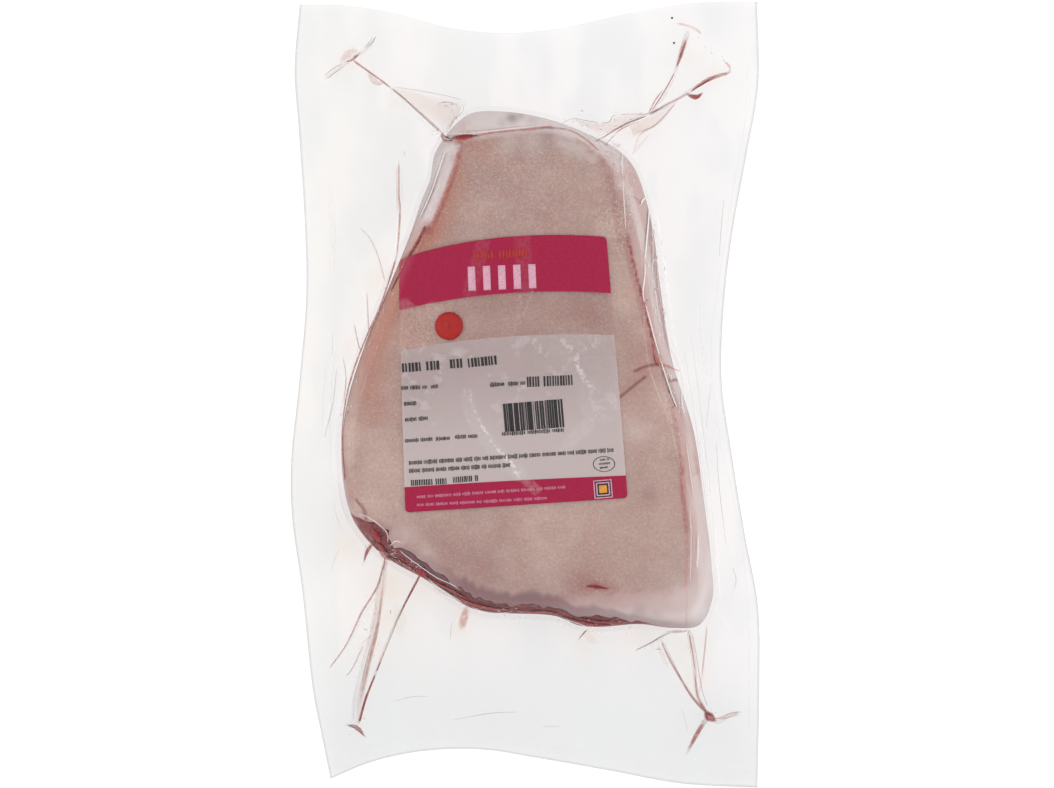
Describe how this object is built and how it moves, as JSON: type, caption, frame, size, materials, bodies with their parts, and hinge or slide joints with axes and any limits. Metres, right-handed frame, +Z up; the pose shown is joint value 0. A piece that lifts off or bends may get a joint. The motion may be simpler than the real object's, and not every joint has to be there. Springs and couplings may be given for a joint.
{
  "type": "vacuum pack of pork leg",
  "caption": "Clear vacuum pouch clinging to a domed piece of leg with skin on, with a wide flat flange, pleated corners and a label stuck on the upper film.",
  "frame": {"origin": "under the middle of the pouch, on the surface it lies on", "axes": "+Z up out of the labelled face, +Y along the pouch towards the narrow shank end, +X to the right of the label"},
  "size_m": [0.2474, 0.416, 0.0474],
  "materials": {
    "pouch": "clear glossy film over pale pink skin and meat",
    "label": "satin printed label with magenta bands and a white panel"
  },
  "bodies": {
    "root": {"pouch": "pouch", "label": "label"}
  },
  "joints": []
}
